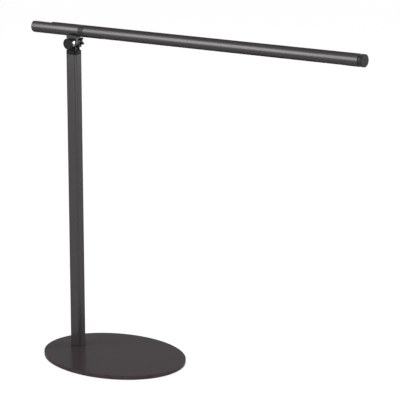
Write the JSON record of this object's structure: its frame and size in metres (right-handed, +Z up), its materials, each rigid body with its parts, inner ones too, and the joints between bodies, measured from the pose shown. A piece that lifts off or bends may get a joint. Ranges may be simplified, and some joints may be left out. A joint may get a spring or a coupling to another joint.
{
  "type": "led table lamp",
  "caption": "Free-standing table lamp: slim round light bar on a clamped tilt hinge, rounded post, oval foot plate; the bar also turns about its own axis to aim its light.",
  "frame": {"origin": "centre of the oval foot's underside, on the surface that the lamp stands on", "axes": "+X along the light bar from its tail to its free end, +Y along the hinge bolt from its cap to its knob, +Z up"},
  "size_m": [0.5276, 0.164, 0.4605],
  "materials": {
    "coat_black": "satin",
    "hinge_black": "matte",
    "bar_black": "satin",
    "cap_black": "matte",
    "trim_black": "matte",
    "bright_steel": "polished",
    "strip_bright": "polished",
    "zinc_screw": "satin",
    "black_screw": "satin",
    "bare_aluminium": "satin",
    "brass": "polished",
    "grip_rubber": "matte",
    "ring_rubber": "matte",
    "bush_white": "satin",
    "fibre": "matte",
    "board_green": "satin",
    "component_black": "matte",
    "led_board_white": "matte",
    "led_phosphor": "satin",
    "opal": "matte",
    "lead_sheath": "matte"
  },
  "bodies": {
    "base": {"base_plate": "coat_black", "base_pad": "grip_rubber", "foot_insert": "bare_aluminium", "foot_screws": "zinc_screw", "post_tube": "coat_black", "inlet_socket": "trim_black", "inlet_pin": "brass", "inlet_nut": "bright_steel", "post_lead": "lead_sheath", "hinge_fork": "hinge_black", "fork_screw": "black_screw", "hinge_bolt": "bright_steel", "head_cap": "trim_black", "bolt_sleeve": "bright_steel", "bolt_washers": "black_screw", "friction_washers": "fibre"},
    "knob": {"hinge_knob": "trim_black", "knob_insert": "brass"},
    "arm": {"hinge_neck": "hinge_black", "neck_screws": "zinc_screw", "tail_tube": "bar_black", "tail_cap": "cap_black", "switch_plate": "strip_bright", "tact_switch": "component_black", "control_board": "board_green", "board_parts": "component_black", "tail_lead": "lead_sheath", "neck_lead": "lead_sheath", "swivel_journal": "bare_aluminium", "twist_collar": "trim_black", "stop_pin": "bright_steel", "friction_ring": "ring_rubber", "journal_clip": "bright_steel"},
    "button": {"switch_button": "strip_bright", "switch_plunger": "component_black"},
    "bar": {"bar_bush": "bush_white", "bar_tube": "bar_black", "led_carrier": "bare_aluminium", "led_board": "led_board_white", "led_chips": "led_phosphor", "diffuser": "opal", "bar_end_cap": "cap_black", "bar_lead": "lead_sheath"}
  },
  "joints": [
    {"name": "arm_tilt", "type": "hinge", "parent": "base", "child": "arm", "pos_m": [-0.065, 0, 0.4228], "axis": [0, -1, 0], "range_deg": [-60, 80]},
    {"name": "bar_twist", "type": "hinge", "parent": "arm", "child": "bar", "pos_m": [-0.06547, 0, 0.43969], "axis": [0.9996, 0, 0.0279], "range_deg": [-150, 150]},
    {"name": "button_press", "type": "slide", "parent": "arm", "child": "button", "axis": [0.0279, 0, -0.9996], "range_m": [0, 0.0008], "stiffness_N_per_m": 2500, "springref_m": -0.0004},
    {"name": "knob_turn", "type": "hinge", "parent": "base", "child": "knob", "pos_m": [-0.065, 0, 0.4228], "axis": [0, 1, 0], "range_deg": [0, 180]}
  ]
}
